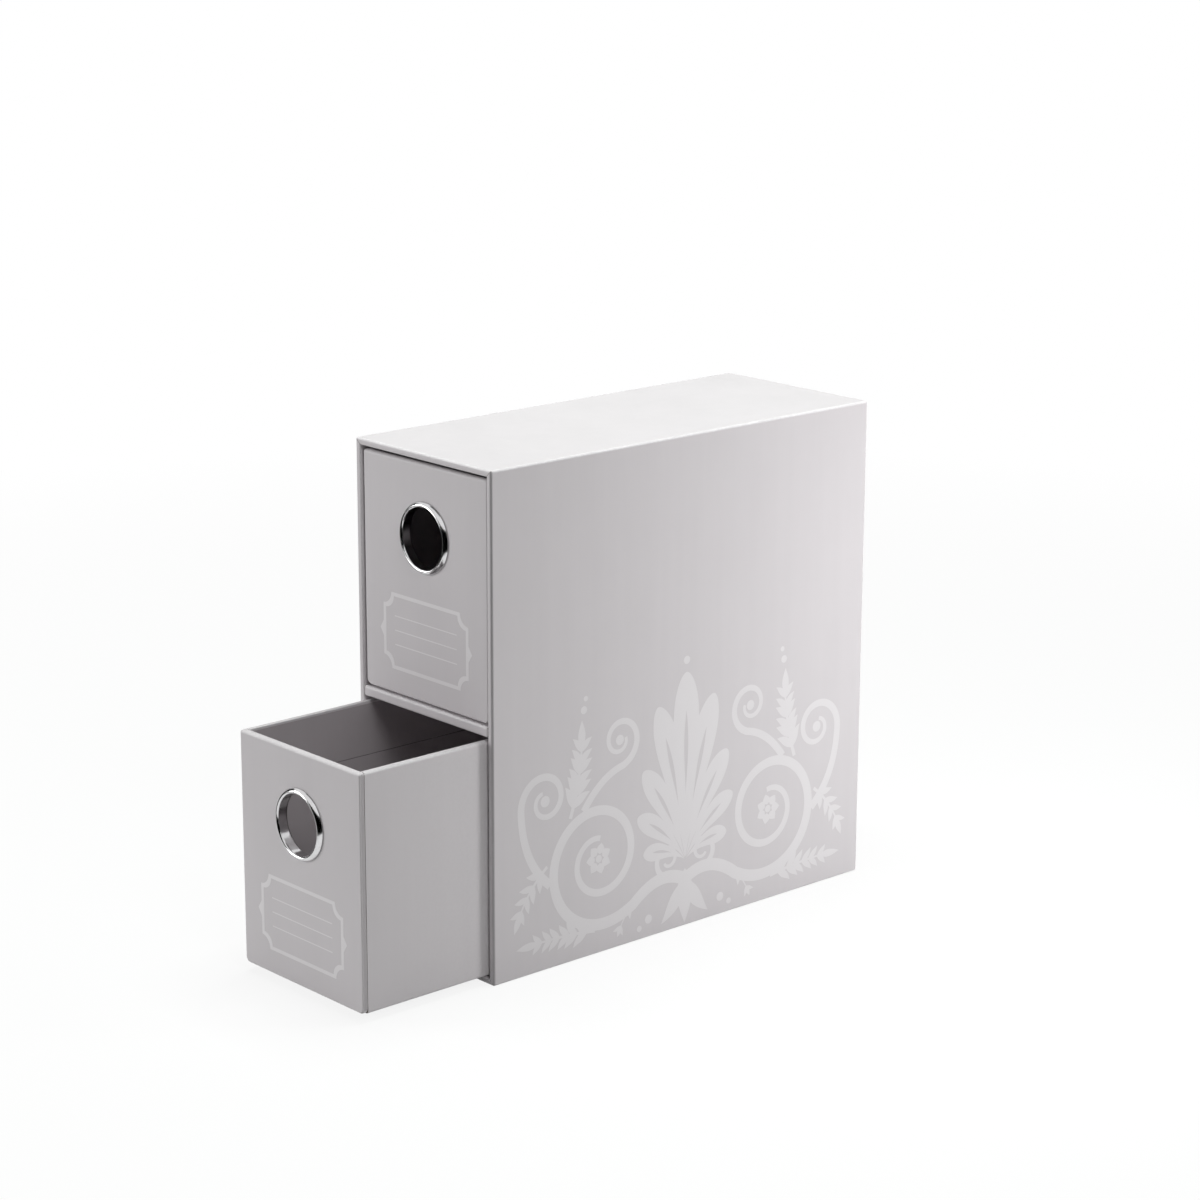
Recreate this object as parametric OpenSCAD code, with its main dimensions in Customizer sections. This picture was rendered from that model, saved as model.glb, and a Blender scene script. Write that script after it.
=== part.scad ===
// Card box with two drawers: an upright slipcase of board covered in paper, open at the front,
// with a shelf across its middle. An open-topped drawer slides in each of the two bays and is
// pulled out by a metal finger ring. Millimetres. +Z is up, the drawers come out along -Y, and
// the origin is the centre of the case's base.

/* [Case] */
// Width of the case, side to side
box_w = 82; // [60:1:130]
// Depth of the case, mouth to back
box_d = 203; // [110:1:320]
// Height of the case
box_h = 205; // [170:1:300]
// Thickness of the case's boards
case_board_t = 2.4; // [1.5:0.1:4]
// Thickness of the shelf's board
shelf_board_t = 3.8; // [2:0.1:6]
// Rounding of the case's outer edges
case_edge_r = 1; // [0.6:0.1:1.6]
// Rounding of the inner edges of the mouth
mouth_edge_r = 0.8; // [0.5:0.1:1.4]
// Rounding of the shelf's front corners, seen from above
shelf_corner_r = 0.6; // [0.4:0.1:2]
// Gap between each end of the shelf and the paper beside it
shelf_end_gap = 0.3; // [0.1:0.1:0.8]

/* [Papers] */
// Thickness of the covering paper
paper_t = 0.2; // [0.1:0.05:0.4]
// Thickness of the card sleeve that lines each bay
bay_lining_t = 0.5; // [0.2:0.1:1]
// Thickness of the paper that lines each drawer
tray_lining_t = 0.2; // [0.1:0.05:0.4]
// How far the covering paper turns in at the mouth and on the shelf
mouth_turn_in = 15; // [5:1:30]
// How far the covering paper turns over onto the back and the base
edge_turn_over = 14; // [6:1:25]
// How far the base and back sheets stay inside the case's outline
sheet_inset = 2; // [1.5:0.5:4]

/* [Drawers] */
// Gap between a drawer and the lining on each side of its bay
side_gap = 0.55; // [0.3:0.05:1]
// Gap between a drawer and the lining that it runs on
floor_gap = 0.3; // [0.2:0.05:0.5]
// Gap between a drawer and the lining above it
top_gap = 1.1; // [0.5:0.1:3]
// Gap between a closed drawer and the lining behind it
back_gap = 0.3; // [0.2:0.1:1]
// How far a closed drawer's front lies inside the mouth
front_recess = 1; // [0.5:0.1:5]
// Thickness of the boards of a drawer's tray
tray_board_t = 2; // [1.2:0.1:3]
// Thickness of a drawer's front board
panel_board_t = 2.1; // [1.6:0.1:3]
// Rounding of the tray's outer edges
tray_edge_r = 1; // [0.6:0.1:1.4]
// Rounding of the inner side of the tray's upper edges
rim_edge_r = 0.9; // [0.5:0.1:1.1]
// Rounding of the front's edges, seen from above
panel_edge_r = 0.9; // [0.5:0.1:1]
// Radius of the front's two upper corners
panel_top_r = 1; // [0.6:0.1:3]
// Radius of the front's two lower corners
panel_bottom_r = 2.6; // [1:0.1:5]
// How far the covering paper turns down inside the tray's upper edges
rim_turn_in = 1.2; // [1.2:0.1:20]
// How far out the lower drawer stands
lower_open = 62; // [0:1:90]

/* [Finger rings] */
// Inner diameter of the ring
ring_bore = 24.4; // [18:0.2:32]
// Width of the ring's face, from the hole to its outer edge
ring_face_w = 2.3; // [1.6:0.1:3.4]
// Height of the straight foot under the ring's face
ring_foot_t = 0.15; // [0.05:0.05:0.5]
// Wall of the ring's barrel
barrel_wall = 0.5; // [0.3:0.1:0.8]
// Thickness of the washer that backs the ring
washer_t = 0.5; // [0.3:0.1:1]
// Depth of the ring's centre below the drawer's upper edge
ring_drop = 29.2; // [24:0.1:50]

/* [Hidden] */
$fn = 96;
// overrun of every cut
cut = 1;
// how far the ring stands out of the front, and the rounding of its inner edge, as shares of the
// width of its face
ring_proud_share = 0.7;
ring_edge_share = 0.35;
// how far round the inner edge is rounded before the ring's flank begins, in degrees
ring_edge_turn = 56.25;
// gap between the barrel and the holes that it passes through
hole_gap = 0.3;
// gap between the barrel and the washer round it
washer_gap = 0.05;
// thickness of the lip that the barrel's end is curled into, and its reach past the barrel
lip_t = 0.35;
lip_reach = 0.9;
// width of the line where two turned-in papers meet at a corner
mitre_w = 0.12;
// the most that one rounding takes of the wall that it is on
fillet_share = 0.45;

// the case, from the outside in
shell_t = paper_t + case_board_t;
rim_t = shell_t + paper_t;
base_t = paper_t + shell_t;
wrap_d = box_d - paper_t;
front_y = -box_d / 2;
back_y = box_d / 2 - base_t;
board_span_x = box_w - 2 * shell_t;
mouth_w = box_w - 2 * rim_t;
mouth_z = base_t + paper_t;
mouth_h = box_h - rim_t - mouth_z;
mouth_r = min(mouth_edge_r, rim_t * fillet_share);
board_mouth_r = mouth_r - paper_t;
lining_y = front_y + mouth_turn_in;

// the two bays, between the boards that bound them
bays_h = box_h - base_t - shell_t;
bay_h = (bays_h - shelf_board_t) / 2;
shelf_z = base_t + bay_h;
upper_bay_z = shelf_z + shelf_board_t;
shelf_w = mouth_w - 2 * shelf_end_gap;

// the drawers
drawer_w = board_span_x - 2 * (bay_lining_t + side_gap);
drawer_h = bay_h - 2 * bay_lining_t - floor_gap - top_gap;
drawer_d = back_y - bay_lining_t - back_gap - front_y - front_recess;
panel_t = panel_board_t + 2 * paper_t;
tray_skin_t = paper_t + tray_board_t;
tray_rim_t = tray_skin_t + paper_t;
rim_r = min(rim_edge_r, tray_rim_t * fillet_share);
board_rim_r = rim_r - paper_t;
board_top = drawer_h - paper_t;
panel_r = min(panel_edge_r, panel_t * fillet_share);
closed_y = front_y + front_recess;
lower_z = base_t + bay_lining_t + floor_gap;
upper_z = upper_bay_z + bay_lining_t + floor_gap;

// the rings, measured from the drawer's front face along its depth
bore_r = ring_bore / 2;
ring_r = bore_r + ring_face_w;
hole_r = bore_r + barrel_wall + hole_gap;
ring_z = drawer_h - ring_drop;
front_wall_t = panel_t + tray_lining_t;

// the section of the ring's face, as [distance from the axis, distance out of the front]: the
// centre of its rounded inner edge, the brow where its flank begins, and the flank's rounding,
// which runs on from the edge's and ends at the foot
ring_edge_r = ring_edge_share * ring_face_w;
ring_edge = [bore_r + ring_edge_r, ring_proud_share * ring_face_w - ring_edge_r];
brow_way = [cos(ring_edge_turn), sin(ring_edge_turn)];
ring_brow = ring_edge + ring_edge_r * brow_way;
ring_foot = [ring_r, ring_foot_t];
flank_run = ring_foot - ring_brow;
flank_r = -(flank_run * flank_run) / (2 * flank_run * brow_way);

// colours
pale_paper = [0.84, 0.82, 0.83];
dark_paper = [0.36, 0.34, 0.35];
greyboard = [0.55, 0.52, 0.47];
chrome = [0.86, 0.87, 0.88];

// four corner radii, in the order lower left, lower right, upper right, upper left
function all_round(r) = [r, r, r, r];
square_corners = all_round(0);
// the same radii further in by t, as on the board inside a paper
function within(radii, t) = [for (r = radii) max(r - t, 0)];

// a box between two opposite corners
module span_box(low, high) translate(low) cube(high - low);

// a rectangle with its lower left corner at the origin, whose corners have their own radii
module soft_rect(size, radii) {
    corners = [[0, 0], [size.x, 0], size, [0, size.y]];
    difference() {
        square(size);
        for (i = [0:3])
            if (radii[i] > 0) translate(corners[i]) rotate(90 * i) difference() {
                translate([-cut, -cut]) square(radii[i] + cut);
                translate([radii[i], radii[i]]) circle(radii[i]);
            }
    }
}

// a block from low to high, rounded as seen from above, from the front and from the right
module soft_block(low, high, plan, front, side) {
    size = high - low;
    translate(low) intersection() {
        linear_extrude(size.z) soft_rect([size.x, size.y], plan);
        translate([0, size.y, 0]) rotate([90, 0, 0])
            linear_extrude(size.y) soft_rect([size.x, size.z], front);
        rotate([90, 0, 90]) linear_extrude(size.x) soft_rect([size.y, size.z], side);
    }
}

// the outline of a way through a wall with rounded edges: a rectangle from the origin that
// flares out at its upper left and upper right corners
module flared_rect(size, left_r, right_r) {
    square([size.x, size.y + cut]);
    if (left_r > 0) translate([-left_r, size.y - left_r]) difference() {
        square([left_r, left_r + cut]);
        circle(left_r);
    }
    if (right_r > 0) translate([size.x, size.y - right_r]) difference() {
        square([right_r, right_r + cut]);
        translate([right_r, 0]) circle(right_r);
    }
}

// a thin upright blade along the diagonal of a corner, for the line between two papers:
// it starts at the origin and runs into the quadrant that toward points to
module mitre_blade(toward, wall, depth) rotate(atan2(toward.y, toward.x))
    translate([mitre_w, -mitre_w / 2, 0]) cube([(wall + cut) * sqrt(2), mitre_w, depth]);

// the case's rounded outline, further in by t than its covering paper's outside
module case_outline(t) {
    r = all_round(case_edge_r - t);
    soft_block([t - box_w / 2, front_y + t, paper_t + t],
        [box_w / 2 - t, front_y + wrap_d - t, box_h - t], r, r, r);
}

// the way in at the mouth as far as end_y, wider by t and flared t further in
module mouth_way(t, end_y) {
    size = [mouth_w + 2 * t, end_y - front_y - t, mouth_h + 2 * t];
    r = mouth_r - t;
    spare = 2 * (r + cut);
    intersection() {
        translate([-size.x / 2, end_y, mouth_z - t - r - cut]) mirror([0, 1, 0])
            linear_extrude(size.z + spare) flared_rect([size.x, size.y], r, r);
        translate([0, end_y, mouth_z - t]) mirror([0, 1, 0]) rotate([0, -90, 0])
            linear_extrude(size.x + spare, center = true) flared_rect([size.z, size.y], r, r);
    }
}

// the part of the case's boards that lies between low and high, with its own rounded edges
module case_board(low, high, plan = square_corners, side = square_corners)
    color(greyboard) intersection() {
        case_outline(paper_t);
        soft_block(low, high, plan, square_corners, side);
    }

module case_left_board() case_board([-box_w / 2, front_y + paper_t, 0],
    [-board_span_x / 2, box_d / 2, box_h], plan = [0, board_mouth_r, 0, 0]);

module case_right_board() case_board([board_span_x / 2, front_y + paper_t, 0],
    [box_w / 2, box_d / 2, box_h], plan = [board_mouth_r, 0, 0, 0]);

module case_top_board() case_board([-board_span_x / 2, front_y + paper_t, box_h - shell_t],
    [board_span_x / 2, box_d / 2, box_h], side = [board_mouth_r, 0, 0, 0]);

module case_bottom_board() case_board([-board_span_x / 2, front_y + paper_t, 0],
    [board_span_x / 2, box_d / 2, base_t], side = [0, 0, 0, board_mouth_r]);

module case_back_board() case_board([-board_span_x / 2, back_y, base_t],
    [board_span_x / 2, box_d / 2, box_h - shell_t]);

// the lines where the turned-in papers meet at the four corners of the mouth
module mouth_mitres()
    for (across = [-1, 1], up = [0, 1])
        translate([across * box_w / 2, front_y + case_edge_r, up ? box_h : paper_t])
            rotate([90, 0, 0]) mitre_blade([-across, up ? -1 : 1], rim_t, case_edge_r + cut);

// one sheet round the top and the sides, turned in at the mouth and over the back and the base
module case_wrap() color(pale_paper) difference() {
    case_outline(0);
    difference() {
        case_outline(paper_t);
        mouth_way(paper_t, lining_y);
    }
    mouth_way(0, lining_y + cut);
    mouth_mitres();
    span_box([edge_turn_over - box_w / 2, back_y + case_board_t - cut, edge_turn_over],
        [box_w / 2 - edge_turn_over, box_d / 2 + cut, box_h - edge_turn_over]);
    span_box([edge_turn_over - box_w / 2, front_y + edge_turn_over, -cut],
        [box_w / 2 - edge_turn_over, box_d / 2 - edge_turn_over, paper_t + paper_t + cut]);
}

// the sheet under the base, which also fills the window between the turned-over edges
module base_sheet() color(pale_paper) union() {
    span_box([sheet_inset - box_w / 2, front_y + sheet_inset, 0],
        [box_w / 2 - sheet_inset, box_d / 2 - sheet_inset, paper_t]);
    span_box([edge_turn_over - box_w / 2, front_y + edge_turn_over, 0],
        [box_w / 2 - edge_turn_over, box_d / 2 - edge_turn_over, paper_t + paper_t]);
}

// the sheet on the back, made the same way
module back_sheet() color(pale_paper) union() {
    span_box([sheet_inset - box_w / 2, box_d / 2 - paper_t, sheet_inset],
        [box_w / 2 - sheet_inset, box_d / 2, box_h - sheet_inset]);
    span_box([edge_turn_over - box_w / 2, box_d / 2 - paper_t - paper_t, edge_turn_over],
        [box_w / 2 - edge_turn_over, box_d / 2, box_h - edge_turn_over]);
}

// the shelf's outline, further in by t than its paper's outside, with rounded front edges
module shelf_outline(t) {
    r = case_edge_r - t;
    corner_r = max(shelf_corner_r - t, 0);
    soft_block([-shelf_w / 2, front_y + t, shelf_z - paper_t + t],
        [shelf_w / 2, back_y, upper_bay_z + paper_t - t],
        [corner_r, corner_r, 0, 0], square_corners, [r, 0, 0, r]);
}

module shelf_board() color(greyboard) shelf_outline(paper_t);

// the paper round the shelf's front edge
module shelf_wrap() color(pale_paper) intersection() {
    difference() {
        shelf_outline(0);
        shelf_outline(paper_t);
    }
    span_box([-shelf_w / 2, front_y, 0], [shelf_w / 2, lining_y, box_h]);
}

// the space between the boards that bound one bay, further in by t on all sides
module bay_space(z, start_y, t) span_box([t - board_span_x / 2, start_y, z + t],
    [board_span_x / 2 - t, back_y - t, z + bay_h - t]);

// a card sleeve with a closed back, glued to the boards of one bay
module bay_lining(z) color(dark_paper) difference() {
    bay_space(z, lining_y, 0);
    bay_space(z, lining_y - cut, bay_lining_t);
}

// A drawer's pieces are drawn about its own place: x = 0 is its middle, y = 0 its front face
// and z = 0 its underside.

// the way through a drawer's front wall for the ring
module ring_hole() translate([0, -cut, ring_z]) rotate([-90, 0, 0])
    cylinder(h = front_wall_t + cut + cut, r = hole_r);

// the front's outline, further in by t than its paper's outside
module panel_outline(t) {
    edges = within(all_round(panel_r), t);
    corners = [panel_bottom_r, panel_bottom_r, panel_top_r, panel_top_r];
    soft_block([t - drawer_w / 2, t, t], [drawer_w / 2 - t, panel_t - t, drawer_h - t],
        edges, within(corners, t), edges);
}

// the tray's outline behind the front, further in by t than its paper's outside
module tray_outline(t) {
    r = tray_edge_r - t;
    soft_block([t - drawer_w / 2, panel_t, t], [drawer_w / 2 - t, drawer_d - t, drawer_h - t],
        [0, 0, r, r], all_round(r), [0, r, r, 0]);
}

// the way into the tray from above, down to low_z, wider by t and flared t further down
module tray_way(t, low_z) {
    w = drawer_w - 2 * (tray_rim_t - t);
    end_y = drawer_d - tray_rim_t + t;
    h = drawer_h - t - low_z;
    r = rim_r - t;
    intersection() {
        translate([-w / 2, end_y + r + cut, low_z]) rotate([90, 0, 0])
            linear_extrude(end_y + r + cut) flared_rect([w, h], r, r);
        translate([-w / 2 - r - cut, panel_t - cut, low_z]) rotate([90, 0, 90])
            linear_extrude(w + 2 * (r + cut)) flared_rect([end_y - panel_t + cut, h], 0, r);
    }
}

// the room inside the tray's boards, further in by t on all its walls and open at the top
module tray_room(t) span_box(
    [t + tray_skin_t - drawer_w / 2, panel_t + t, tray_skin_t + t],
    [drawer_w / 2 - tray_skin_t - t, drawer_d - tray_skin_t - t, drawer_h + cut]);

// the part of the tray's boards that lies between low and high, with its own rounded edges
module tray_board(low, high, front = square_corners, side = square_corners)
    color(greyboard) intersection() {
        tray_outline(paper_t);
        soft_block(low, high, square_corners, front, side);
    }

module front_panel() color(greyboard) difference() {
    panel_outline(paper_t);
    ring_hole();
}

module panel_wrap() color(pale_paper) difference() {
    panel_outline(0);
    panel_outline(paper_t);
    ring_hole();
}

module tray_bottom()
    tray_board([-drawer_w / 2, panel_t, 0], [drawer_w / 2, drawer_d, tray_skin_t]);

module tray_left() tray_board([-drawer_w / 2, panel_t, tray_skin_t],
    [tray_skin_t - drawer_w / 2, drawer_d, board_top], front = [0, 0, board_rim_r, 0]);

module tray_right() tray_board([drawer_w / 2 - tray_skin_t, panel_t, tray_skin_t],
    [drawer_w / 2, drawer_d, board_top], front = [0, 0, 0, board_rim_r]);

module tray_back()
    tray_board([tray_skin_t - drawer_w / 2, drawer_d - tray_skin_t, tray_skin_t],
        [drawer_w / 2 - tray_skin_t, drawer_d, board_top], side = [0, 0, 0, board_rim_r]);

// the lines where the turned-in papers meet at the tray's two back corners
module rim_mitres()
    for (across = [-1, 1]) translate([across * drawer_w / 2, drawer_d, drawer_h - tray_edge_r])
        mitre_blade([-across, -1], tray_rim_t, tray_edge_r + cut);

// one sheet round the tray's sides, back and bottom, turned in over its upper edges
module tray_wrap() color(pale_paper) difference() {
    tray_outline(0);
    difference() {
        union() {
            tray_outline(paper_t);
            span_box([tray_edge_r - drawer_w / 2, panel_t - cut, tray_edge_r],
                [drawer_w / 2 - tray_edge_r, panel_t + cut, drawer_h - tray_edge_r]);
        }
        tray_way(paper_t, drawer_h - rim_turn_in);
    }
    tray_way(0, drawer_h - rim_turn_in - cut);
    rim_mitres();
}

// the paper inside the tray: its floor, its three walls and the back of the front
module tray_lining() color(dark_paper) difference() {
    span_box([tray_skin_t - drawer_w / 2, panel_t, tray_skin_t],
        [drawer_w / 2 - tray_skin_t, drawer_d - tray_skin_t, drawer_h - rim_turn_in]);
    tray_room(tray_lining_t);
    ring_hole();
}

// puts what is drawn about the Z axis on the ring's axis, with +Z out of the drawer's front
module on_ring_axis() translate([0, 0, ring_z]) rotate([90, 0, 0]) children();

// the section of the ring's face
module ring_face() {
    translate(ring_edge) circle(ring_edge_r);
    translate([bore_r, 0]) square([ring_brow.x - bore_r, ring_edge.y]);
    intersection() {
        translate(ring_brow - flank_r * brow_way) circle(flank_r);
        translate([ring_brow.x, 0]) square([ring_r - ring_brow.x, ring_brow.y]);
    }
}

// a face on the front, a barrel through the wall and a curled lip over the washer
module finger_ring() {
    lip_back = -front_wall_t - washer_t - lip_t;
    lip_w = barrel_wall + lip_reach;
    color(chrome) on_ring_axis() rotate_extrude() {
        ring_face();
        translate([bore_r, lip_back]) square([barrel_wall, ring_foot_t - lip_back]);
        translate([bore_r, lip_back]) square([lip_w - lip_t / 2, lip_t]);
        translate([bore_r + lip_w - lip_t / 2, lip_back + lip_t / 2]) circle(lip_t / 2);
    }
}

// the flat washer between the lining and the barrel's lip
module ring_washer() {
    inner_r = bore_r + barrel_wall + washer_gap;
    color(chrome) on_ring_axis() rotate_extrude()
        translate([inner_r, -front_wall_t - washer_t]) square([ring_r - inner_r, washer_t]);
}

// the two drawers' places
module in_upper_bay() translate([0, closed_y, upper_z]) children();
module in_lower_bay() translate([0, closed_y - lower_open, lower_z]) children();

case_left_board();
case_right_board();
case_top_board();
case_bottom_board();
case_back_board();
shelf_board();
case_wrap();
base_sheet();
back_sheet();
shelf_wrap();
bay_lining(upper_bay_z);  // upper_bay_lining
bay_lining(base_t);  // lower_bay_lining
in_upper_bay() front_panel();  // upper_front_panel
in_upper_bay() panel_wrap();  // upper_panel_wrap
in_upper_bay() tray_bottom();  // upper_tray_bottom
in_upper_bay() tray_left();  // upper_tray_left
in_upper_bay() tray_right();  // upper_tray_right
in_upper_bay() tray_back();  // upper_tray_back
in_upper_bay() tray_wrap();  // upper_tray_wrap
in_upper_bay() tray_lining();  // upper_tray_lining
in_upper_bay() finger_ring();  // upper_finger_ring
in_upper_bay() ring_washer();  // upper_ring_washer
in_lower_bay() front_panel();  // lower_front_panel
in_lower_bay() panel_wrap();  // lower_panel_wrap
in_lower_bay() tray_bottom();  // lower_tray_bottom
in_lower_bay() tray_left();  // lower_tray_left
in_lower_bay() tray_right();  // lower_tray_right
in_lower_bay() tray_back();  // lower_tray_back
in_lower_bay() tray_wrap();  // lower_tray_wrap
in_lower_bay() tray_lining();  // lower_tray_lining
in_lower_bay() finger_ring();  // lower_finger_ring
in_lower_bay() ring_washer();  // lower_ring_washer
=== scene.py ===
"""Looks for the card box with two drawers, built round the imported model. Metres, +Z up, front at -Y."""
import math
import bmesh
import bpy
from mathutils import Matrix, Vector
from mathutils.geometry import delaunay_2d_cdt


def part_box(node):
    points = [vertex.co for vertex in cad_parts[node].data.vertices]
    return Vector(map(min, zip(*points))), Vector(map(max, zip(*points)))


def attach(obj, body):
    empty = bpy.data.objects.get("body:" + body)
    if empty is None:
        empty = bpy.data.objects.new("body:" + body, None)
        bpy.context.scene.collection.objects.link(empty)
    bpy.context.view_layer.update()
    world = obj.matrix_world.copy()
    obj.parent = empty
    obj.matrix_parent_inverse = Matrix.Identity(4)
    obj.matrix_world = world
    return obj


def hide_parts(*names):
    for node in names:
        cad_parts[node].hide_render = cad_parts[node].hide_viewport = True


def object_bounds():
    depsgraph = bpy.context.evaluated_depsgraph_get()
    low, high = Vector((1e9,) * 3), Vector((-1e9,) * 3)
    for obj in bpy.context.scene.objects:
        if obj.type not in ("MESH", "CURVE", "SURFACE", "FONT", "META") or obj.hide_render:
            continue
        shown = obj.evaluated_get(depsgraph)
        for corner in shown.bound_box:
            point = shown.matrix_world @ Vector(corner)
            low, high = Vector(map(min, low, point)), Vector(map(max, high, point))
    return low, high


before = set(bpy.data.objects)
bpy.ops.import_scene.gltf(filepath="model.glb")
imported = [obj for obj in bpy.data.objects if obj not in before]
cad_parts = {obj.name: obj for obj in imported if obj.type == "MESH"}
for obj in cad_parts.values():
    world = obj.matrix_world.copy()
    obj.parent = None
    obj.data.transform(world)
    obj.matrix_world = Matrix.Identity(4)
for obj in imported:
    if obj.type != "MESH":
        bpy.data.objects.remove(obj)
CAD_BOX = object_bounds()
MM = 0.001


# Sizes

def node_box(node):
    """A CAD node's lowest and highest corners."""
    low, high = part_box(node)
    return Vector(low), Vector(high)


WRAP_LOW, WRAP_HIGH = node_box("case_wrap")
BOARD_LOW, BOARD_HIGH = node_box("case_left_board")
PANEL_LOW, PANEL_HIGH = node_box("lower_panel_wrap")
TRAY_LOW, TRAY_HIGH = node_box("lower_tray_wrap")
RING_LOW, RING_HIGH = node_box("lower_finger_ring")
WASHER_LOW, WASHER_HIGH = node_box("lower_ring_washer")

# papers and boards, as the frame has them
PAPER_T = BOARD_LOW.x - WRAP_LOW.x
RIM_T = BOARD_HIGH.x + PAPER_T - WRAP_LOW.x
TRAY_RIM_T = node_box("lower_tray_left")[1].x + PAPER_T - TRAY_LOW.x
PANEL_T = PANEL_HIGH.y - PANEL_LOW.y
SLEEVE_FRONT = node_box("lower_bay_lining")[0].y
SLEEVE_T = 0.5 * MM
TRAY_LINING_T = 0.2 * MM

# roundings, with those of a lining's folds inside and outside
CASE_EDGE_R = 1.0 * MM
MOUTH_EDGE_R = 0.8 * MM
SHELF_CORNER_R = 0.6 * MM
TRAY_EDGE_R = 1.25 * MM
TRAY_RIM_R = 0.55 * MM
PANEL_EDGE_R = 1.3 * MM
PANEL_SIDE_R = 0.5 * MM
PANEL_BACK_R = 0.55 * MM
PANEL_CORNERS_R = (2.6 * MM, 2.6 * MM, 1.0 * MM, 1.0 * MM)
LINING_FOLD_R = 0.5 * MM
LINING_BACK_R = 0.05 * MM

# painted shade on the upright edges of the mouth and of the fronts, and how dark the drawers' rims are
# made, of 1, and how deep behind a front's face its upright edge has the painted shade in full
EDGE_PAINTED_SHADE = 0.5
PANEL_PAINTED_SHADE = 0.4
RIM_DARKENING = 0.2
PANEL_SHADE_DEPTH = 0.7 * MM

# turned-over and turned-in papers, how deep the lines are where two of them meet, the sheets glued
# over them, and the seam in the tray's inner paper
TURN_OVER = 14.0 * MM
RIM_TURN_IN = 1.2 * MM
JOINT_DEPTH = 0.16 * MM
SHEET_CORNER_R = 0.6 * MM
SHEET_MARGIN = 1.0 * MM
SHEET_OVERLAP = 12.0 * MM
SHEET_STEP_W = 0.8 * MM
SHEET_STEP_H = 0.1 * MM
SEAM_DOWN = 22.3 * MM
SEAM_HALF_W = 0.25 * MM
SEAM_DEPTH_SHARE = 0.6

# finger rings and their washers
RING_R = (RING_HIGH.x - RING_LOW.x) / 2
BORE_R = 12.2 * MM
BORE_START = 0.5 * MM
BORE_END = 1.8 * MM
BARREL_T = 0.5 * MM
BARREL_START = 1.2 * MM
HOLE_R = 13.0 * MM
RING_FOOT_T = 0.15 * MM
RING_FOOT_R = 0.1 * MM
RING_PROUD = PANEL_LOW.y - RING_LOW.y
RING_EDGE_R = 0.8 * MM
RING_EDGE_TURN = 56.25
LIP_T = 0.35 * MM
LIP_REACH = 0.9 * MM
LIP_GAP = 0.2 * MM
LIP_CURL_R = 1.0 * MM
WASHER_GAP = 0.05 * MM

# the dent that a ring presses into the paper: its depth, and the share left at distances outside
DENT_DEPTH = 0.07 * MM
DENT_FALL = ((0.2 * MM, 1.0), (0.9 * MM, 0.3), (2.4 * MM, 0.0))

# the print: how proud the ink is, and how high a label's middle is above its drawer's underside
INK_T = 0.03 * MM
LABEL_Z = 25.5 * MM

# the floor: half its side, its place a hair above the base, which so shows from below, how white it
# is beside the object, and from where to where it turns plain white
FLOOR_HALF = 15.0
FLOOR_Z = 0.2 * MM
FLOOR_WHITE = 0.86
SHADOW_NEAR = 0.25
SHADOW_FAR = 0.9

# the dark surround and the dark card above the box, which the metal reflects
SURROUND_IN = 0.28
SURROUND_OUT = 1.45
SURROUND_Z = 3 * MM
SURROUND_H = 0.85
SURROUND_Y = -0.05
CARD_HALF = 0.3
CARD_Z = 0.95

# fineness of the meshes, how far from a corner its points reach, and how near to an outline a point
# counts as on it
FILLET_STEPS = 8
CORNER_STEPS = 12
RING_STEPS = 160
SURROUND_STEPS = 64
PANEL_SIDE_STEPS = 20
CORNER_REACH = 1.2 * MM
PANEL_CORNER_REACH = 3.2 * MM
ON_OUTLINE = 0.1 * MM


# Meshes

def set_values(mesh, name, values):
    """A number for each point of a mesh, which the materials read by its name."""
    attribute = mesh.attributes.new(name, "FLOAT", "POINT")
    attribute.data.foreach_set("value", values)


def make_object(name, points, faces, wear=None, dark_joint_and_shade=None):
    """An object from points and faces, with its normals outward and the marks of its edges: rubbing, and
    dark joints with painted shade.
    """
    mesh = bpy.data.meshes.new(name)
    mesh.from_pydata(points, [], faces)
    set_values(mesh, "wear", wear or [0.0] * len(points))
    set_values(mesh, "dark_joint_and_shade", dark_joint_and_shade or [0.0] * len(points))
    bm = bmesh.new()
    bm.from_mesh(mesh)
    bmesh.ops.remove_doubles(bm, verts=bm.verts, dist=1e-7)
    bmesh.ops.dissolve_degenerate(bm, edges=bm.edges, dist=1e-8)
    bmesh.ops.recalc_face_normals(bm, faces=bm.faces)
    bm.to_mesh(mesh)
    bm.free()
    mesh.shade_smooth()
    mesh.set_sharp_from_angle(angle=math.radians(50))
    obj = bpy.data.objects.new(name, mesh)
    bpy.context.scene.collection.objects.link(obj)
    even = obj.modifiers.new("even_normals", "WEIGHTED_NORMAL")
    even.keep_sharp = True
    return obj


def grid_faces(first, rows, columns, wrap_rows, wrap_columns):
    """Quads between the points of a grid that are numbered from first, row after row."""
    faces = []
    for i in range(rows if wrap_rows else rows - 1):
        for j in range(columns if wrap_columns else columns - 1):
            below = first + i * columns
            above = first + ((i + 1) % rows) * columns
            k = (j + 1) % columns
            faces.append((below + j, below + k, above + k, above + j))
    return faces


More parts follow.
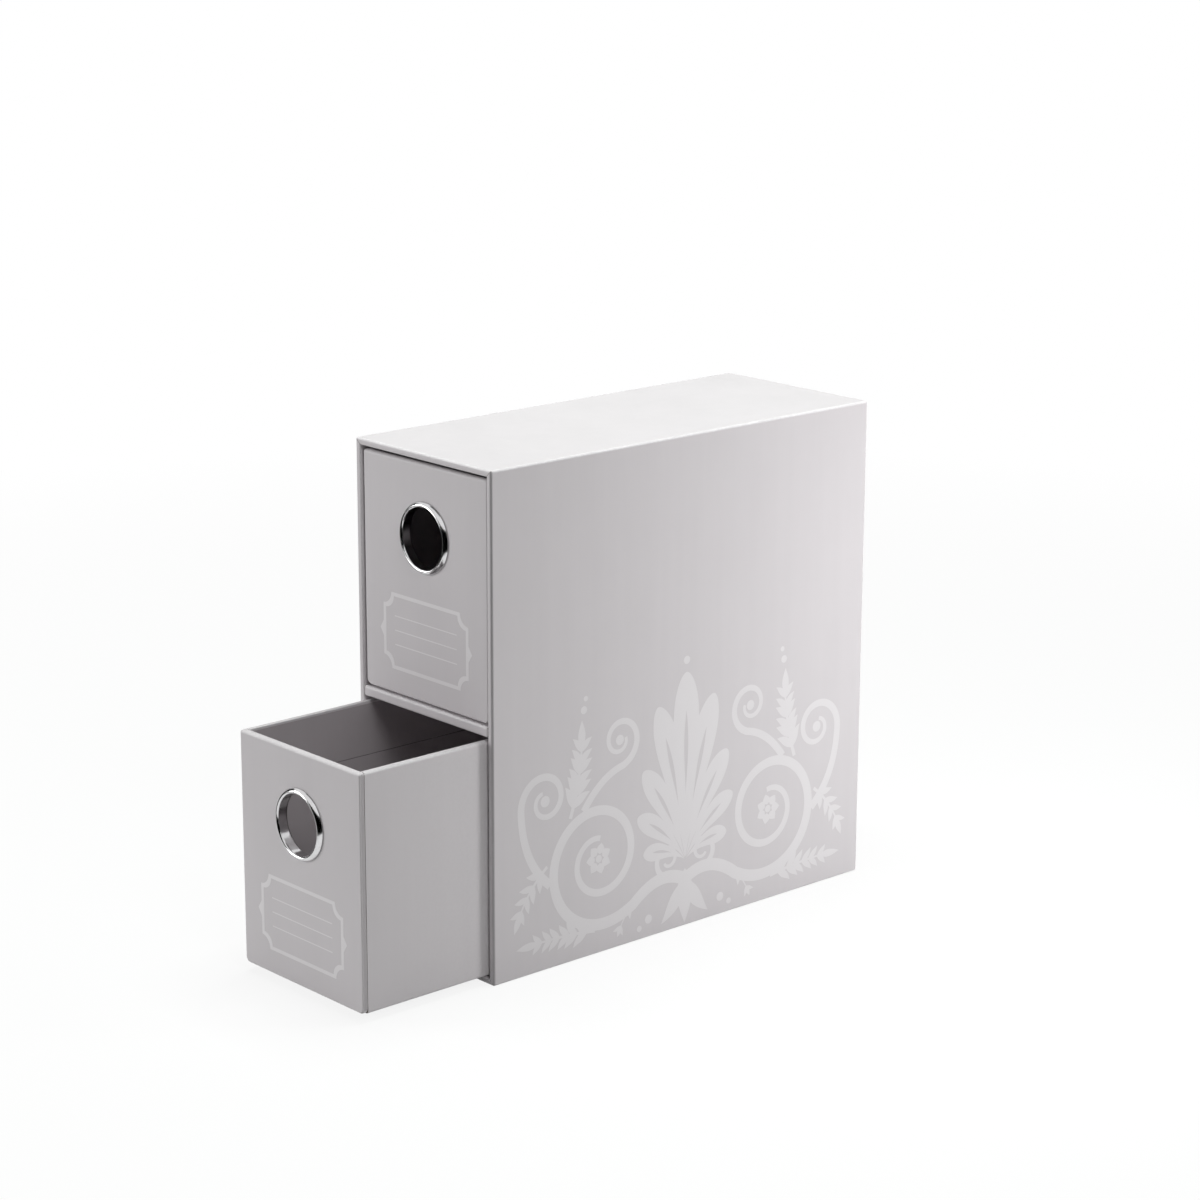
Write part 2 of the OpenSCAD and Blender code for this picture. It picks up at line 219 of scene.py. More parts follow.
class Shell:
    """A sheet with a thickness, between rows of points on its outside and on its inside. The rows
    are closed or open, and a capped sheet also fills the middle of its first row."""

    def __init__(self):
        self.points = []
        self.faces = []
        self.wear = []
        self.dark_joint_and_shade = []

    def add_rows(self, rows):
        """Takes in the points of some rows and gives the number of the first."""
        first = len(self.points)
        for row in rows:
            for point, wear, dark_joint_and_shade in row:
                self.points.append(point)
                self.wear.append(wear)
                self.dark_joint_and_shade.append(dark_joint_and_shade)
        return first

    def add_sheet(self, outside, inside, closed=True, capped=False):
        """Adds a sheet between its outer and inner rows, with all its cut edges."""
        rows = len(outside)
        columns = len(outside[0])
        out = self.add_rows(outside)
        back = self.add_rows(inside)
        last_row = (rows - 1) * columns
        self.faces += grid_faces(out, rows, columns, False, closed)
        self.faces += grid_faces(back, rows, columns, False, closed)
        self.join(out + last_row, back + last_row, columns, 1, closed)
        if capped:
            self.faces.append(tuple(range(out, out + columns)))
            self.faces.append(tuple(range(back, back + columns)))
        else:
            self.join(out, back, columns, 1, closed)
        if not closed:
            for side in (0, columns - 1):
                self.join(out + side, back + side, rows, columns, False)
            if capped:
                self.faces.append((out, out + columns - 1, back + columns - 1, back))

    def join(self, one, other, count, step, closed):
        """Quads between two lines of points, whose numbers rise from one and from other by step."""
        for j in range(count if closed else count - 1):
            near = j * step
            far = (j + 1) % count * step
            self.faces.append((one + near, one + far, other + far, other + near))

    def build(self, name):
        return make_object(name, self.points, self.faces, self.wear, self.dark_joint_and_shade)


def make_sheet(name, outside, inside, closed=True, capped=False):
    """An object that is a single sheet."""
    shell = Shell()
    shell.add_sheet(outside, inside, closed, capped)
    return shell.build(name)


def corner_points(corner, ahead, aside, radius, reach):
    """Points round a corner as a path turns from the direction ahead to the direction aside,
    from reach before the corner to reach after it, with whether each lies on the rounding."""
    straight = reach - radius
    arc = radius * math.pi / 2
    centre = corner - ahead * radius + aside * radius
    points = []
    for k in range(CORNER_STEPS + 1):
        s = (2 * straight + arc) * k / CORNER_STEPS
        if s <= straight:
            points.append((corner - ahead * (reach - s), False))
        elif s < straight + arc:
            turn = (s - straight) / radius
            points.append((centre + (ahead * math.sin(turn) - aside * math.cos(turn)) * radius, True))
        else:
            points.append((corner + aside * (s - straight - arc + radius), False))
    return points


def rect_row(low, high, radii, reach, wear=0.0, side_steps=1):
    """A closed row round a rectangle, as (2-D point, wear): the corner radii are in the order
    lower left, lower right, upper right, upper left, and each side is cut into side_steps."""
    right = Vector((1, 0))
    up = Vector((0, 1))
    corners = [
        (Vector((low[0], low[1])), -up, right),
        (Vector((high[0], low[1])), right, up),
        (Vector((high[0], high[1])), up, -right),
        (Vector((low[0], high[1])), -right, -up),
    ]
    row = []
    for k, ((corner, ahead, aside), radius) in enumerate(zip(corners, radii)):
        for point, rounded in corner_points(corner, ahead, aside, radius, reach):
            row.append((point, 1.0 if rounded else wear))
        start = row[-1][0]
        end = corners[(k + 1) % 4][0] - aside * reach
        for step in range(1, side_steps):
            row.append((start.lerp(end, step / side_steps), wear))
    return row


def u_row(half_w, start, end, radius, reach, wear=0.0):
    """An open row up one side, round two corners and down the other side, as (2-D point, wear)."""
    ahead = Vector((0, 1))
    right = Vector((1, 0))
    row = [(Vector((-half_w, start)), wear), (Vector((-half_w, start + reach)), wear)]
    for corner, way, turn in (
        (Vector((-half_w, end)), ahead, right),
        (Vector((half_w, end)), right, -ahead),
    ):
        for point, rounded in corner_points(corner, way, turn, radius, reach):
            row.append((point, 1.0 if rounded else wear))
    row.append((Vector((half_w, start + reach)), wear))
    row.append((Vector((half_w, start)), wear))
    return row


def rounding(radius, steps=FILLET_STEPS):
    """The places along a rounded edge: the angle turned, how far off the face ahead still is and
    the face behind is by now, and how much the place is rubbed."""
    for k in range(steps + 1):
        turn = math.pi / 2 * k / steps
        yield turn, radius * (1 - math.sin(turn)), radius * (1 - math.cos(turn)), math.sin(2 * turn)


def press_joints(rows, deep_rows, chosen, columns):
    """Presses the chosen columns of a sheet's rows down to a deeper skin: the line where two
    turned-in papers meet, coloured dark: a dark joint, partly painted shade in the groove."""
    for i in chosen:
        for j in columns:
            wear = rows[i][j][1]
            rows[i][j] = (deep_rows[i][j][0], wear, 1.0)


# The slipcase

def case_rows(t):
    """The skin of the case's covering sheet, further in by t, from the turn-over on the back, over
    the sides and the rim, to the end of the turn-in."""
    edge_r = CASE_EDGE_R - t
    mouth_r = MOUTH_EDGE_R - t
    front = WRAP_LOW.y + t
    back = WRAP_HIGH.y - t
    stations = [(TURN_OVER, back, 0.0, 0.0), (t + 3 * CASE_EDGE_R, back, 0.0, 0.0)]
    for turn, ahead, behind, wear in rounding(edge_r):
        stations.append((t + ahead, back - behind, edge_r * math.sin(turn), wear))
    for y in (back - 3 * CASE_EDGE_R, SLEEVE_FRONT, front + 3 * CASE_EDGE_R):
        stations.append((t, y, edge_r, 0.0))
    edge_start = len(stations)
    for turn, ahead, behind, wear in rounding(edge_r):
        stations.append((t + behind, front + ahead, edge_r * math.cos(turn), wear))
    edge_end = len(stations)
    stations.append((RIM_T / 2, front, 0.0, 0.0))
    for turn, ahead, behind, wear in rounding(mouth_r):
        stations.append((RIM_T - t - ahead, front + behind, 0.0, wear))
    stations.append((RIM_T - t, SLEEVE_FRONT, 0.0, 0.0))
    rows = []
    for number, (inset, y, radius, wear) in enumerate(stations):
        low = (WRAP_LOW.x + inset, WRAP_LOW.z + inset)
        high = (WRAP_HIGH.x - inset, WRAP_HIGH.z - inset)
        found = []
        for p, rubbed in rect_row(low, high, [radius] * 4, CORNER_REACH, wear):
            # the mouth's upright outer edges are not rubbed pale but painted dark: painted shade
            upright = edge_start <= number < edge_end and abs(p.x) > high[0] - radius / 2
            found.append((Vector((p.x, y, p.y)), 0.0 if upright else rubbed,
                          EDGE_PAINTED_SHADE * wear if upright else 0.0))
        rows.append(found)
    return rows


def make_case_cover():
    """The covering sheet round the case, with a line at each corner of the mouth's rim."""
    rows = case_rows(0.0)
    middle = CORNER_STEPS // 2
    corners = [c * (CORNER_STEPS + 1) + middle for c in range(4)]
    rim_start = 2 + (FILLET_STEPS + 1) + 3 + FILLET_STEPS // 2
    press_joints(rows, case_rows(JOINT_DEPTH), range(rim_start, len(rows)), corners)
    return make_sheet("case_cover", rows, case_rows(PAPER_T))


def flat_sheet_rows(low, high, level, t, place):
    """The skin of a thin glued sheet, further in by t: its middle, the step where it leaves the
    turned-over paper under it, its face and its cut edge."""
    round_r = 0.5 * PAPER_T
    stations = [(SHEET_OVERLAP + SHEET_STEP_W, SHEET_STEP_H), (SHEET_OVERLAP, 0.0),
                (SHEET_MARGIN, 0.0), (round_r, 0.0), (0.0, round_r)]
    rows = []
    for inset, depth in stations:
        row = rect_row((low[0] + inset, low[1] + inset), (high[0] - inset, high[1] - inset),
                       [SHEET_CORNER_R] * 4, CORNER_REACH)
        rows.append([(place(p, level - depth - t), 0.0, 0.0) for p, _wear in row])
    return rows


def make_glued_sheet(name, node, place, axes, level):
    """A glued sheet in a node's box: place(point, level) puts a point of the plane of the two axes
    at a level outward from the box."""
    low, high = node_box(node)
    a, b = axes
    low = (low[a], low[b])
    high = (high[a], high[b])
    outside = flat_sheet_rows(low, high, level, 0.0, place)
    inside = flat_sheet_rows(low, high, level, PAPER_T, place)
    inside[-1] = [(place(Vector((p[0][a], p[0][b])), level - PAPER_T), 0.0, 0.0) for p in outside[-1]]
    return make_sheet(name, outside, inside, capped=True)


def shelf_rows(t):
    """The skin of the paper round the shelf's front, further in by t: a row for each place across."""
    low, high = node_box("shelf_wrap")
    edge_r = CASE_EDGE_R - t
    places = [(behind, ahead) for _turn, ahead, behind, _wear in rounding(SHELF_CORNER_R, 6)]
    places = [(low.x + a, b) for a, b in places] + [(high.x - a, b) for a, b in reversed(places)]
    rows = []
    for x, set_back in places:
        front = low.y + t + set_back
        row = [(high.y, high.z - t, 0.0), (front + 3 * CASE_EDGE_R, high.z - t, 0.0)]
        for _turn, ahead, behind, wear in rounding(edge_r):
            row.append((front + ahead, high.z - t - behind, wear))
        for _turn, ahead, behind, wear in rounding(edge_r):
            row.append((front + behind, low.z + t + ahead, wear))
        row += [(front + 3 * CASE_EDGE_R, low.z + t, 0.0), (high.y, low.z + t, 0.0)]
        end_wear = 0.7 if set_back > 0 else 0.0
        rows.append([(Vector((x, y, z)), max(wear, end_wear), 0.0) for y, z, wear in row])
    return rows


def make_shelf_cover():
    return make_sheet("shelf_cover", shelf_rows(0.0), shelf_rows(PAPER_T), closed=False)


def make_sleeve(name, node):
    """The card sleeve in a bay: four walls and a closed back."""
    low, high = node_box(node)

    def rows(t, fold_r):
        found = []
        for inset, y in ((t + 2 * LINING_FOLD_R, high.y - t), (t, high.y - t - fold_r), (t, low.y)):
            row = rect_row((low.x + inset, low.z + inset), (high.x - inset, high.z - inset),
                           [fold_r] * 4, CORNER_REACH)
            found.append([(Vector((p.x, y, p.y)), 0.0, 0.0) for p, _wear in row])
        return found

    return make_sheet(name, rows(0.0, LINING_BACK_R), rows(SLEEVE_T, LINING_FOLD_R), capped=True)


# The drawers, drawn about their own place: x = 0 is the middle, y = 0 the front face and z = 0
# the underside

DRAWER_W = PANEL_HIGH.x - PANEL_LOW.x
DRAWER_H = PANEL_HIGH.z - PANEL_LOW.z
DRAWER_D = TRAY_HIGH.y - PANEL_LOW.y
RING_Z = (RING_LOW.z + RING_HIGH.z) / 2 - PANEL_LOW.z
WASHER_Y = WASHER_LOW.y - PANEL_LOW.y
WASHER_T = WASHER_HIGH.y - WASHER_LOW.y


def circle_row(like, radius, y):
    """A row on a circle round the ring's axis, at the same angles as the points of another row."""
    row = []
    for point, _wear, _dark_joint_and_shade in like:
        away = Vector((point.x, 0, point.z - RING_Z)).normalized()
        row.append((Vector((away.x * radius, y, RING_Z + away.z * radius)), 0.0, 0.0))
    return row


def arc_inset(depth, radius):
    """How far a rounded edge lies inside its outline, at a depth below the face."""
    return radius - math.sqrt(radius ** 2 - max(radius - depth, 0.0) ** 2)


def panel_rows(t):
    """The skin of the front's covering paper, further in by t, from the ring's hole on the front,
    round the edges, to the hole on the back. Its upright edges are crisper than the others."""
    edge_r = PANEL_EDGE_R - t
    side_r = PANEL_SIDE_R - t
    back_r = PANEL_BACK_R - t
    middle = t + 3 * PANEL_EDGE_R
    # the last two values of a station: painted shade on the front's upright edges, and the darkening of
    # its top edge
    stations = [(middle, middle, t, 0.0, 0.0, 0.0)]
    for turn, ahead, behind, wear in rounding(edge_r):
        stations.append((t + ahead, t + arc_inset(behind, side_r), t + behind, wear,
                         PANEL_PAINTED_SHADE * min(behind / PANEL_SHADE_DEPTH, 1.0) ** 3,
                         RIM_DARKENING * math.sin(turn)))
    for turn, ahead, behind, wear in rounding(back_r):
        stations.append((t + behind, t + behind, PANEL_T - t - ahead, wear,
                         PANEL_PAINTED_SHADE * math.cos(turn) ** 2, RIM_DARKENING * math.cos(turn)))
    stations.append((middle, middle, PANEL_T - t, 0.0, 0.0, 0.0))
    rows = []
    for inset, side_inset, y, wear, side_shade, rim_darkening in stations:
        radii = [max(r - inset, 0.0) for r in PANEL_CORNERS_R]
        half_w = DRAWER_W / 2 - side_inset
        row = []
        for p, rubbed in rect_row((-half_w, inset), (half_w, DRAWER_H - inset), radii,
                                  PANEL_CORNER_REACH, wear, PANEL_SIDE_STEPS):
            # upright edges take the painted shade in place of rubbing, and the top edge is darkened
            upright = side_shade > 0 and abs(p.x) > half_w - ON_OUTLINE
            rim_dark = rim_darkening if p.y > DRAWER_H - inset - ON_OUTLINE else 0.0
            row.append((Vector((p.x, y, p.y)), rubbed if wear > 0 and not upright else 0.0,
                        side_shade if upright else rim_dark))
        rows.append(row)
    front = [circle_row(rows[0], HOLE_R, t + DENT_DEPTH)]
    for out, share in DENT_FALL:
        front.append(circle_row(rows[0], RING_R + out, t + share * DENT_DEPTH))
    back = [circle_row(rows[-1], RING_R + DENT_FALL[-1][0], PANEL_T - t),
            circle_row(rows[-1], HOLE_R, PANEL_T - t)]
    return front + rows + back


def make_panel_cover(name):
    return make_sheet(name, panel_rows(0.0), panel_rows(PAPER_T))


def tray_rows(t):
    """The skin of the tray's covering paper, further in by t, from the bottom, up the walls and
    over the rim."""
    edge_r = TRAY_EDGE_R - t
    rim_r = TRAY_RIM_R - t
    stations = []
    for turn, ahead, behind, wear in rounding(edge_r):
        stations.append((t + ahead, t + behind, edge_r * math.sin(turn), wear, 0.0))
    stations.append((t, 3 * TRAY_EDGE_R, edge_r, 0.0, 0.0))
    stations.append((t, DRAWER_H - 3 * TRAY_EDGE_R, edge_r, 0.0, 0.0))
    # the last value of a station darkens the top rounding and the rim
    for turn, ahead, behind, wear in rounding(edge_r):
        stations.append((t + behind, DRAWER_H - t - ahead, edge_r * math.cos(turn), wear,
                         RIM_DARKENING * math.sin(turn)))
    for turn, ahead, behind, wear in rounding(rim_r):
        stations.append((TRAY_RIM_T - t - ahead, DRAWER_H - t - behind, 0.0, wear,
                         RIM_DARKENING * math.cos(turn)))
    stations.append((TRAY_RIM_T - t, DRAWER_H - RIM_TURN_IN, 0.0, 0.0, 0.0))
    rows = []
    for inset, z, radius, wear, rim_dark in stations:
        row = u_row(DRAWER_W / 2 - inset, PANEL_T, DRAWER_D - inset, radius, CORNER_REACH, wear)
        rows.append([(Vector((p.x, p.y, z)), rubbed, rim_dark) for p, rubbed in row])
    return rows


def make_tray_cover(name):
    """The covering sheet round the tray, with a line at each back corner of its rim."""
    rows = tray_rows(0.0)
    middle = 2 + CORNER_STEPS // 2
    corners = [middle, middle + CORNER_STEPS + 1]
    rim_start = (FILLET_STEPS + 1) + 2 + FILLET_STEPS // 2
    press_joints(rows, tray_rows(JOINT_DEPTH), range(rim_start, len(rows)), corners)
    return make_sheet(name, rows, tray_rows(PAPER_T), closed=False, capped=True)


def make_tray_inside(name):
    """The paper inside the tray: one sheet for the floor and three walls, with a seam along the
    walls, and one for the back of the front."""
    outer = TRAY_RIM_T - PAPER_T
    top = DRAWER_H - RIM_TURN_IN
    seam = DRAWER_H - SEAM_DOWN

    def wall_rows(t, fold_r):
        face = outer + t
        # the fourth station is the seam, coloured dark: a dark joint, partly painted shade under its step
        stations = [(face + fold_r, face, 0.0), (face, face + fold_r, 0.0),
                    (face, seam - SEAM_HALF_W, 0.0),
                    (outer + (1 - SEAM_DEPTH_SHARE) * t, seam, 1.0 if t > 0 else 0.0),
                    (face, seam + SEAM_HALF_W, 0.0), (face, top, 0.0)]
        rows = []
        for inset, z, dark_joint_and_shade in stations:
            row = u_row(DRAWER_W / 2 - inset, PANEL_T + TRAY_LINING_T, DRAWER_D - inset,
                        fold_r, CORNER_REACH)
            rows.append([(Vector((p.x, p.y, z)), 0.0, dark_joint_and_shade) for p, _wear in row])
        return rows

    def front_rows(y):
        half_w = DRAWER_W / 2 - outer
        row = rect_row((-half_w, outer), (half_w, top), [0.0] * 4, CORNER_REACH, 0.0, PANEL_SIDE_STEPS)
        row = [(Vector((p.x, y, p.y)), 0.0, 0.0) for p, _wear in row]
        return [circle_row(row, HOLE_R, y), circle_row(row, RING_R + 2 * MM, y), row]

    shell = Shell()
    shell.add_sheet(wall_rows(TRAY_LINING_T, LINING_FOLD_R), wall_rows(0.0, LINING_BACK_R),
                    closed=False, capped=True)
    shell.add_sheet(front_rows(PANEL_T + TRAY_LINING_T), front_rows(PANEL_T))
    return shell.build(name)


def lathe(name, section):
    """Turns a closed section of (radius, depth behind the front face) about the ring's axis."""
    points = []
    for k in range(RING_STEPS):
        turn = 2 * math.pi * k / RING_STEPS
        for radius, depth in section:
            points.append(Vector((radius * math.cos(turn), depth, RING_Z + radius * math.sin(turn))))
    return make_object(name, points, grid_faces(0, RING_STEPS, len(section), True, True))


def arc(centre, radius, start, end, steps):
    """Points on an arc, as (radius from the axis, depth), with angles in degrees."""
    points = []
    for k in range(steps + 1):
        turn = math.radians(start + (end - start) * k / steps)
        points.append((centre[0] + radius * math.cos(turn), centre[1] - radius * math.sin(turn)))
    return points


def make_ring(name):
    """A face that rises from its foot to a rounded inner edge, a barrel through the wall and a lip
    curled over the washer."""
    edge = Vector((BORE_R + RING_EDGE_R, RING_EDGE_R - RING_PROUD))
    turn = math.radians(RING_EDGE_TURN)
    out = Vector((math.cos(turn), -math.sin(turn)))
    brow = edge + out * RING_EDGE_R
    down = Vector((RING_R, -RING_FOOT_T)) - brow
    flank_r = -down.length_squared / (2 * down.dot(out))
    flank = brow - out * flank_r
    end = brow + down - flank
    barrel_r = BORE_R + BARREL_T
    lip_front = WASHER_Y + WASHER_T
    lip_r = LIP_T / 2
    section = arc(edge, RING_EDGE_R, 180, RING_EDGE_TURN, 12)[:-1]
    section += arc(flank, flank_r, RING_EDGE_TURN, math.degrees(math.atan2(-end.y, end.x)), 12)
    section += arc((RING_R - RING_FOOT_R, -RING_FOOT_R), RING_FOOT_R, 0, -90, 4)
    section += arc((barrel_r + RING_FOOT_R, RING_FOOT_R), RING_FOOT_R, 90, 180, 3)
    section += [(barrel_r, BARREL_START), (barrel_r, lip_front - LIP_GAP)]
    section += arc((BORE_R + BARREL_T + LIP_REACH - lip_r, lip_front + lip_r), lip_r, 90, -90, 8)
    section += arc((BORE_R + LIP_CURL_R, lip_front + LIP_T - LIP_CURL_R), LIP_CURL_R, -90, -180, 5)
    section += [(BORE_R, BORE_END), (BORE_R, BORE_START)]
    return lathe(name, section)


def make_washer(name):
    """A flat washer with its edges bevelled."""
    inner_r = BORE_R + BARREL_T + WASHER_GAP
    bevel = 0.12 * MM
    near = WASHER_Y
    far = WASHER_Y + WASHER_T
    section = [(inner_r, near + bevel), (inner_r + bevel, near), (RING_R - bevel, near),
               (RING_R, near + bevel), (RING_R, far - bevel), (RING_R - bevel, far),
               (inner_r + bevel, far), (inner_r, far - bevel)]
    return lathe(name, section)


# Printed shapes, drawn in millimetres on a plane

# cutting them into tiles: only tiles inside the shapes are made, and points nearer than this are one
TILES_INSIDE = 1
SAME_POINT = 1e-4


def curve_point(start, control, end, t):
    """The point at the share t of a curve from start to end that is pulled towards control."""
    return start * (1 - t) ** 2 + control * 2 * t * (1 - t) + end * t ** 2


def curve_points(start, control, end, steps):
    """Points along the whole of such a curve."""
    return [curve_point(start, control, end, k / steps) for k in range(steps + 1)]


def ribbon(path, widths):
    """The outline of a band along a path, with a width at each point."""
    left = []
    right = []
    for k, point in enumerate(path):
        ahead = path[min(k + 1, len(path) - 1)] - path[max(k - 1, 0)]
        aside = ahead.orthogonal().normalized() * widths[k] / 2
        left.append(point + aside)
        right.append(point - aside)
    return left + right[::-1]


def closed_ribbon(path, widths):
    """The outline of a band whose width falls to nothing at both ends."""
    outline = ribbon(path, widths)
    last = len(path) - 1
    return outline[:last] + outline[last + 1:-1]


def pull(root, tip, bend):
    """The point that bends a curve from root to tip sideways by a share of its length."""
    return (root + tip) / 2 + (tip - root).orthogonal() * bend


def petal(root, tip, bend, width, fullness=0.8, steps=14):
    """A pointed leaf from root to tip."""
    path = curve_points(root, pull(root, tip, bend), tip, steps)
    widths = [width * math.sin(math.pi * (k / steps) ** fullness) for k in range(steps + 1)]
    return closed_ribbon(path, widths)


def spiral(centre, start_r, end_r, start_deg, turns, steps=72):
    """Points that wind in towards a centre. Turns above 0 go anticlockwise."""
    points = []
    for k in range(steps + 1):
        t = k / steps
        angle = math.radians(start_deg) + 2 * math.pi * turns * t
        radius = start_r + (end_r - start_r) * t ** 0.8
        points.append(centre + Vector((math.cos(angle), math.sin(angle))) * radius)
    return points


def disc(centre, radius, steps=28):
    """The outline of a round spot."""
    points = []
    for k in range(steps):
        angle = 2 * math.pi * k / steps
        points.append(centre + Vector((math.cos(angle), math.sin(angle))) * radius)
    return points


def tapered(count, start, end):
    """Widths that change evenly from start to end."""
    return [start + (end - start) * k / (count - 1) for k in range(count)]


def mirrored(shapes):
    """The shapes with their reflections."""
    return shapes + [[Vector((-p.x, p.y)) for p in shape] for shape in shapes]


def sprig(root, tip, bend, size, pairs):
    """A curved stem with pairs of slender leaves and one leaf at its tip. Of the stem's 40 steps
    the pairs take the 4th to the 27th, and the last leaf begins at the 29th."""
    first_pair, last_pair, last_leaf, stem_end = 4, 27, 29, 33
    leaf_width = 0.36
    stem = curve_points(root, pull(root, tip, bend), tip, 40)
    shapes = [ribbon(stem[:stem_end], tapered(stem_end, size * 0.17, size * 0.08)),
              petal(stem[last_leaf], tip, 0.0, size * leaf_width)]
    for k in range(pairs):
        place = round(first_pair + (last_pair - first_pair) * k / max(pairs - 1, 1))
        at = stem[place]
        ahead = (stem[place + 1] - stem[place - 1]).normalized()
        length = size * (1.0 - 0.32 * k / pairs)
        for side in (-1, 1):
            aside = ahead.orthogonal() * side
            end = at + (ahead * 0.76 + aside * 0.65) * length
            shapes.append(petal(at, end, -0.16 * side, length * leaf_width, 0.85))
    return shapes


def palmette_lobe(angle_deg, length, width, bend):
    """A round-ended lobe of the palmette, leaning from the upright by an angle, and its slit. The
    lobe's points crowd towards its end, which so comes out round."""
    lobe_steps = 32
    slit_steps = 20
    slit_start, slit_length, slit_width = 0.34, 0.46, 0.16
    root = Vector((0, 29))
    angle = math.radians(angle_deg)
    tip = root + Vector((math.sin(angle), math.cos(angle))) * length
    control = pull(root, tip, bend)
    shares = [math.sin(math.pi / 2 * k / lobe_steps) for k in range(lobe_steps + 1)]
    lobe = closed_ribbon([curve_point(root, control, tip, t) for t in shares],
                         [width * math.sin(math.pi * t ** 2.4) ** 0.55 for t in shares])
    shares = [k / slit_steps for k in range(slit_steps + 1)]
    middle = [curve_point(root, control, tip, slit_start + slit_length * t) for t in shares]
    slit = closed_ribbon(middle, [width * slit_width * math.sin(math.pi * t ** 1.4) for t in shares])
    return lobe, slit


def rosette(centre, radius, petals):
    """A ring of short petals round a spot."""
    shapes = []
    for k in range(petals):
        angle = 2 * math.pi * k / petals
        away = Vector((math.cos(angle), math.sin(angle)))
        shapes.append(petal(centre + away * radius * 0.3, centre + away * radius, 0.0, radius * 0.62))
    shapes.append(disc(centre, radius * 0.24))
    return shapes


def scroll(start, control, curl, width):
    """A stem that runs from start into the spiral curl, growing thinner."""
    path = curve_points(start, control, curl[0], 14)[:-1] + curl
    return ribbon(path, tapered(len(path), width, width * 0.42))


def side_ornament():
    """A foliate ornament of the kind on old bindings: a palmette between two scrolls, mirrored
    about its middle. The shapes to fill and the shapes to leave out of them."""
    main_eye = Vector((47, 40))
    outer_eye = Vector((75, 70))
    inner_eye = Vector((36, 87))
    main = spiral(main_eye, 30, 8.5, -128, 1.62, 110)
    outer = spiral(outer_eye, 13, 3.6, -20, 1.25)
    inner = spiral(inner_eye, 11, 3.2, -100, -1.25)
    calyx = spiral(Vector((9.5, 31)), 7.5, 2.4, -90, 1.15)
    half = [
        scroll(Vector((1, 21)), Vector((14, 28)), main, 5.4),
        scroll(Vector((72.5, 35)), Vector((86, 46)), outer, 3.8),
        scroll(Vector((55, 61.5)), Vector((46, 74)), inner, 3.4),
        scroll(Vector((0, 22)), Vector((4, 22)), calyx, 3.0),
        disc(outer_eye, 2.3),
        disc(inner_eye, 2.1),
        disc(Vector((20, 8)), 1.9),
        disc(Vector((25, 5)), 1.3),
        disc(Vector((55, 103)), 1.6),
        disc(Vector((54, 107.5)), 1.1),
        petal(Vector((1, 20)), Vector((13, 4)), -0.12, 6.5),
    ]
    half += rosette(main_eye, 6.6, 7)
    for root, tip, bend, size, pairs in (
        (Vector((49, 10.3)), Vector((90, 12)), 0.05, 9.0, 6),
        (Vector((62, 60)), Vector((56, 99)), 0.10, 10.5, 6),
        (Vector((74, 43)), Vector((91, 19)), 0.16, 8.5, 4),
        (Vector((28.5, 17)), Vector((37, 4.5)), 0.12, 5.5, 2),
    ):
        half += sprig(root, tip, bend, size, pairs)
    gaps = []
    for angle, length, width, bend in ((13, 69, 12.5, 0.05), (29, 48, 10.5, 0.09),
                                       (49, 35, 9.0, 0.14), (74, 24, 7.5, 0.2)):
        lobe, slit = palmette_lobe(angle, length, width, bend)
        half.append(lobe)
        gaps.append(slit)
    lobe, slit = palmette_lobe(0, 79, 14.0, 0.0)
    middle = [lobe, petal(Vector((0, 25)), Vector((0, 1.5)), 0.0, 8.5), disc(Vector((0, 113)), 1.7)]
    return mirrored(half) + middle, mirrored(gaps) + [slit]


def label_outline(half_w, half_h, notch):
    """A rectangle whose corners are hollowed by quarter circles."""
    steps = 8
    outline = []
    for across, up, start in ((1, 1, 180), (-1, 1, 270), (-1, -1, 0), (1, -1, 90)):
        corner = Vector((across * half_w, up * half_h))
        sweep = []
        for k in range(steps + 1):
            angle = math.radians(start + 90 * k / steps)
            sweep.append(corner + Vector((math.cos(angle), math.sin(angle))) * notch)
        outline += sweep[::-1]
    return outline


def label_frame():
    """A ruled label: a frame with hollowed corners and a diamond on each side, round three writing
    lines. The shapes to fill, the shapes to leave out of them and the lines."""
    half_w = 26.0
    half_h = 15.5
    line_w = 1.5
    notch = 5.0
    solid = [label_outline(half_w, half_h, notch)]
    cut = [label_outline(half_w - line_w, half_h - line_w, notch)]
    for across in (-1, 1):
        solid.append([Vector((across * half_w, 0)) + Vector(q) for q in
                      ((2.1, 0), (0, 3.2), (-2.1, 0), (0, -3.2))])
    rules = []
    for height in (6.2, 0.4, -5.4):
        rules.append([Vector((x, height + y)) for x, y in
                      ((-19, -0.22), (19, -0.22), (19, 0.22), (-19, 0.22))])
    return solid, cut, rules


def anticlockwise(shape):
    """The same outline, run anticlockwise."""
    area = sum(p.cross(q) for p, q in zip(shape, shape[1:] + shape[:1]))
    return shape if area > 0 else shape[::-1]


